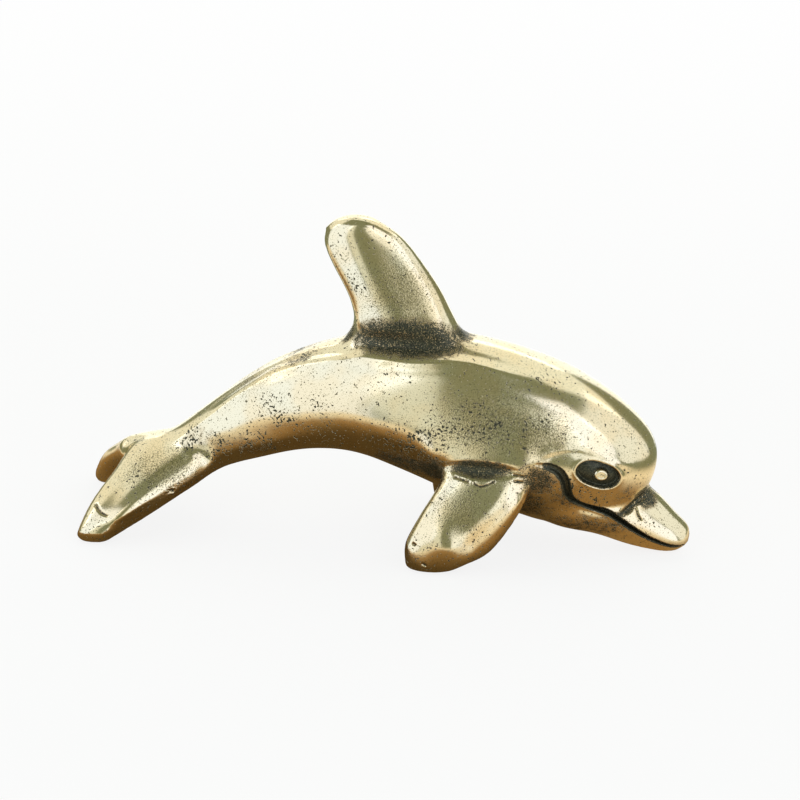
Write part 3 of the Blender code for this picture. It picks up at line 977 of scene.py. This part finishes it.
def brass():
    """Polished brass with pits and fine grain, and dark patina where the hollows hold it."""
    material = bpy.data.materials.new("aged_brass")
    material.use_nodes = True
    nodes = Nodes(material.node_tree)
    shader = material.node_tree.nodes["Principled BSDF"]
    place = nodes.put("TexCoord", {}).outputs["Object"]
    where = nodes.put("Mapping", {"Vector": place, "Scale": (1 / MM,) * 3}).outputs["Vector"]
    patina, pitting, grain = (nodes.field(name) for name in ("patina", "pitting", "grain"))
    crowd = nodes.ramp(nodes.noise(where, CROWDING), *CROWDING_EDGE)
    crowd = nodes.math("MULTIPLY_ADD", crowd, CROWDED, UNCROWDED)
    pitting = nodes.math("MULTIPLY", pitting, crowd)

    fine, middling, broad = (nodes.noise(where, noise) for noise in (FINE, MIDDLING, BROAD))
    ragged = nodes.math("SUBTRACT", fine, 0.5)
    blotch = nodes.math("MULTIPLY", nodes.math("SUBTRACT", middling, 0.5), PATINA_BLOTCHED)
    level = nodes.math("MULTIPLY_ADD", ragged, PATINA_RAGGED, blotch)
    level = nodes.math("ADD", patina, level)
    level = nodes.math("MULTIPLY", level, nodes.ramp(patina, *PATINA_NEEDED))
    bright = nodes.ramp(nodes.noise(where, CLEAN_GRAINS), *CLEAN_GRAIN_EDGE)
    bright = nodes.math("MULTIPLY", bright, nodes.ramp(patina, *THICK_PATINA))
    dark = nodes.ramp(level, *PATINA_EDGE)
    dark = nodes.math("MULTIPLY", dark, nodes.math("SUBTRACT", 1.0, bright))

    big_pits = nodes.pits(where, ragged, nodes.math("MULTIPLY", pitting, PIT_GROWTH))
    specks = nodes.math("MULTIPLY_ADD", pitting, SPECK_GROWTH, nodes.noise(where, SPECKS))
    pit = nodes.math("MAXIMUM", big_pits, nodes.ramp(specks, *SPECK_EDGE))
    stain = nodes.math("MAXIMUM", dark, pit)

    coarse = nodes.math("MULTIPLY", pitting, GRIT_BY_PITTING)
    coarse = nodes.math("MULTIPLY_ADD", grain, GRIT_BY_GRAIN, coarse)
    grit = nodes.ramp(nodes.math("ADD", fine, coarse), *GRIT_EDGE)
    tarnish = nodes.math("MULTIPLY_ADD", blotch, TARNISH_BLOTCHED, patina)
    tarnish = nodes.ramp(tarnish, *TARNISH_EDGE)

    gold = nodes.mix(nodes.ramp(broad, *PALE_EDGE), WARM_BRASS, PALE_BRASS)
    gold = nodes.mix(nodes.math("MULTIPLY", tarnish, TARNISH_SHARE), gold, BROWN_BRASS)
    gold = nodes.mix(nodes.math("MULTIPLY", grit, GRIT_DULLS), gold, DULL_BRASS)
    dirt = nodes.mix(nodes.ramp(fine, *PALE_PATINA_EDGE), PATINA, PALE_PATINA)
    rough = nodes.math("MULTIPLY_ADD", grit, GRIT_ROUGHNESS, ROUGHNESS)

    height = nodes.math("MULTIPLY", nodes.math("MULTIPLY", ragged, grain), GRAIN_RISE)
    height = nodes.math("MULTIPLY_ADD", dark, -PATINA_DEEP, height)
    height = nodes.math("MULTIPLY_ADD", pit, -PIT_DEEP, height)
    bump = nodes.put("Bump", {"Height": height, "Strength": 1.0, "Distance": MM})
    looks = {
        "Base Color": nodes.mix(stain, gold, dirt),
        "Roughness": nodes.math("MULTIPLY_ADD", stain, STAIN_ROUGHNESS, rough),
        "Metallic": nodes.math("MULTIPLY_ADD", stain, -STAIN_UNMETAL, 1.0),
        "Normal": bump.outputs["Normal"],
    }
    for name, socket in looks.items():
        nodes.tree.links.new(socket, shader.inputs[name])
    return material


def direction(azimuth, elevation):
    """The way from the figurine to what lies at this azimuth and elevation, in degrees."""
    azimuth, elevation = math.radians(azimuth), math.radians(elevation)
    level = math.cos(elevation)
    return Vector((math.sin(azimuth) * level, -math.cos(azimuth) * level, math.sin(elevation)))


def camera():
    """The camera of the photograph."""
    azimuth, roll = math.radians(CAMERA_AZIMUTH), math.radians(CAMERA_ROLL)
    back = direction(CAMERA_AZIMUTH, CAMERA_ELEVATION)
    level = Vector((math.cos(azimuth), math.sin(azimuth), 0))
    upright = back.cross(level)
    right = level * math.cos(roll) + upright * math.sin(roll)
    up = upright * math.cos(roll) - level * math.sin(roll)
    data = bpy.data.cameras.new("camera")
    data.lens = CAMERA_LENS
    data.sensor_width = CAMERA_SENSOR
    data.clip_start = CAMERA_NEAR * MM
    seen_from = bpy.data.objects.new("camera", data)
    bpy.context.scene.collection.objects.link(seen_from)
    aside, above = FRAME_OFFSET
    place = Vector(LOOK_AT) + back * CAMERA_DISTANCE + right * aside + up * above
    turn = Matrix((right, up, back)).transposed().to_4x4()
    seen_from.matrix_world = Matrix.Translation(place * MM) @ turn
    bpy.context.scene.camera = seen_from


def softbox(name, box):
    """A flat light that faces the figurine, from a direction counted as the camera's is."""
    wide, tall = (
        2 * SOFTBOX_DISTANCE * math.tan(math.radians(spread / 2)) for spread in (box.wide, box.tall)
    )
    data = bpy.data.lights.new(name, "AREA")
    data.shape = "RECTANGLE"
    data.size = wide * MM
    data.size_y = tall * MM
    data.energy = box.glow * math.pi * wide * tall * MM**2
    data.color = box.colour
    light = bpy.data.objects.new(name, data)
    bpy.context.scene.collection.objects.link(light)
    away = direction(box.azimuth, box.elevation)
    light.location = (Vector(LIT_POINT) + away * SOFTBOX_DISTANCE) * MM
    light.rotation_euler = away.to_track_quat("Z", "Y").to_euler()


def floor_paint():
    """Pale to the camera, and to the brass a painted reflection: a glowing wooden tabletop with
    painted shade under the figurine, and nothing beyond.
    """
    material = bpy.data.materials.new("floor")
    material.use_nodes = True
    material.node_tree.nodes.clear()
    nodes = Nodes(material.node_tree)
    place = nodes.put("TexCoord", {}).outputs["Object"]
    scale = tuple(1 / (reach * MM) for reach in PAINTED_TABLE_REACH)
    mapped = nodes.put("Mapping", {"Vector": place, "Location": PAINTED_TABLE_SHIFT, "Scale": scale})
    far = nodes.put("VectorMath", {0: mapped.outputs[0]}, operation="LENGTH").outputs["Value"]

    # The painted reflection: colours that glow for the brass alone, darkest as painted shade under
    # the figurine.
    painted_table_ramp = nodes.put("ValToRGB", {"Fac": far})
    painted_table_ramp.color_ramp.interpolation = "EASE"
    stops = painted_table_ramp.color_ramp.elements
    stops.new(PAINTED_TABLE_REFLECTION[1][0])
    for stop, (position, colour) in zip(stops, PAINTED_TABLE_REFLECTION):
        stop.position = position
        stop.color = colour
    painted_table_glow = nodes.put("Emission", {"Color": painted_table_ramp.outputs["Color"]}).outputs[0]
    beyond = nodes.put("BsdfTransparent", {}).outputs[0]
    painted_reflection = nodes.shade(nodes.ramp(far, *PAINTED_TABLE_EDGE), painted_table_glow, beyond)

    glow = {"Value": far, "From Min": FLOOR_GLOW_FROM[0], "From Max": FLOOR_GLOW_FROM[1]}
    glow.update({"To Min": FLOOR_GLOW[0], "To Max": FLOOR_GLOW[1]})
    glow = nodes.put("MapRange", glow).outputs[0]
    pale = nodes.put("BsdfDiffuse", {"Color": FLOOR_PAINT}).outputs[0]
    white = nodes.put("Emission", {"Color": WHITE}).outputs[0]
    seen = nodes.shade(glow, pale, white)
    nodes.put("OutputMaterial", {"Surface": nodes.to_camera(painted_reflection, seen)})
    return material


def floor():
    """A flat floor round the figurine."""
    mesh = bpy.data.meshes.new("floor")
    bm = bmesh.new()
    bmesh.ops.create_grid(bm, x_segments=1, y_segments=1, size=FLOOR_REACH * MM)
    bm.to_mesh(mesh)
    bm.free()
    stage = bpy.data.objects.new("floor", mesh)
    bpy.context.scene.collection.objects.link(stage)
    mesh.materials.append(floor_paint())


def studio():
    """White to the camera, and to the brass a dim room with softboxes all round."""
    scene = bpy.context.scene
    scene.view_settings.view_transform = "Standard"
    world = bpy.data.worlds.new("studio")
    world.use_nodes = True
    world.node_tree.nodes.clear()
    nodes = Nodes(world.node_tree)
    room = nodes.put("Background", {"Color": (*ROOM, 1)}).outputs[0]
    white = nodes.put("Background", {"Color": WHITE}).outputs[0]
    nodes.put("OutputWorld", {"Surface": nodes.to_camera(room, white)})
    scene.world = world
    for name, box in SOFTBOXES.items():
        softbox(name, box)


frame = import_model()

casting = sculpted()
casting.data.materials.append(brass())
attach(casting, "root")
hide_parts("dolphin")
floor()
studio()
camera()
